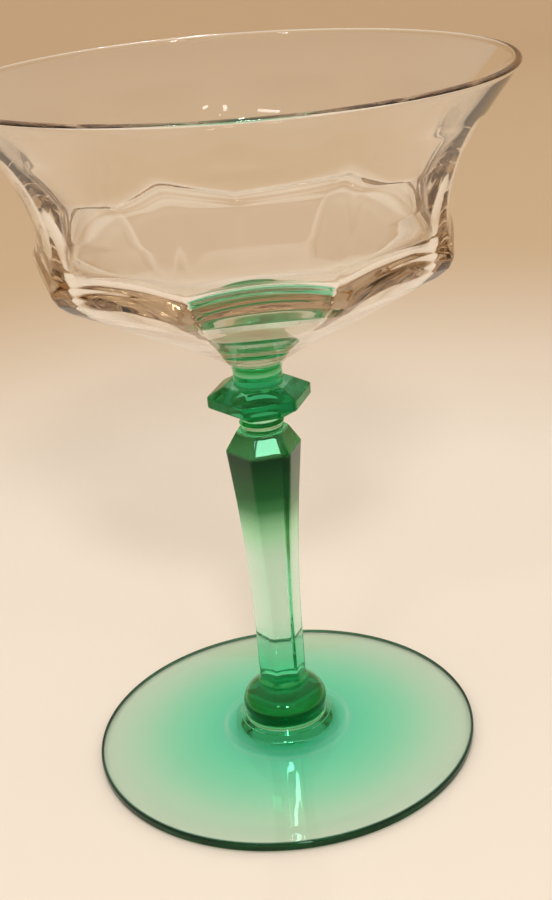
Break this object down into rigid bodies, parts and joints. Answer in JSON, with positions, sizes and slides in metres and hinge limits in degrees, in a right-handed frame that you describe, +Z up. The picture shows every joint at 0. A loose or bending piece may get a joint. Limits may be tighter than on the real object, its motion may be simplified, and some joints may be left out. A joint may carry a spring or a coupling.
{
  "type": "stemmed glass",
  "caption": "Stemmed drinking glass with a clear panelled bowl flared at the rim, on a green hexagonal stem with a bevelled knop and a round green foot.",
  "frame": {"origin": "centre of the underside of the foot, on the plane it stands on", "axes": "+Z up along the axis of the glass; +X and +Y lie in the plane that it stands on"},
  "size_m": [0.095, 0.095, 0.1264],
  "materials": {
    "clear_glass": "clear blown glass, fire polished",
    "green_glass": "clear green pressed glass",
    "green_foot_glass": "clear green glass, thin and paler"
  },
  "bodies": {
    "root": {"bowl": "clear_glass", "collar": "green_glass", "stem": "green_glass", "base_knob": "green_glass", "foot": "green_foot_glass"}
  },
  "joints": []
}
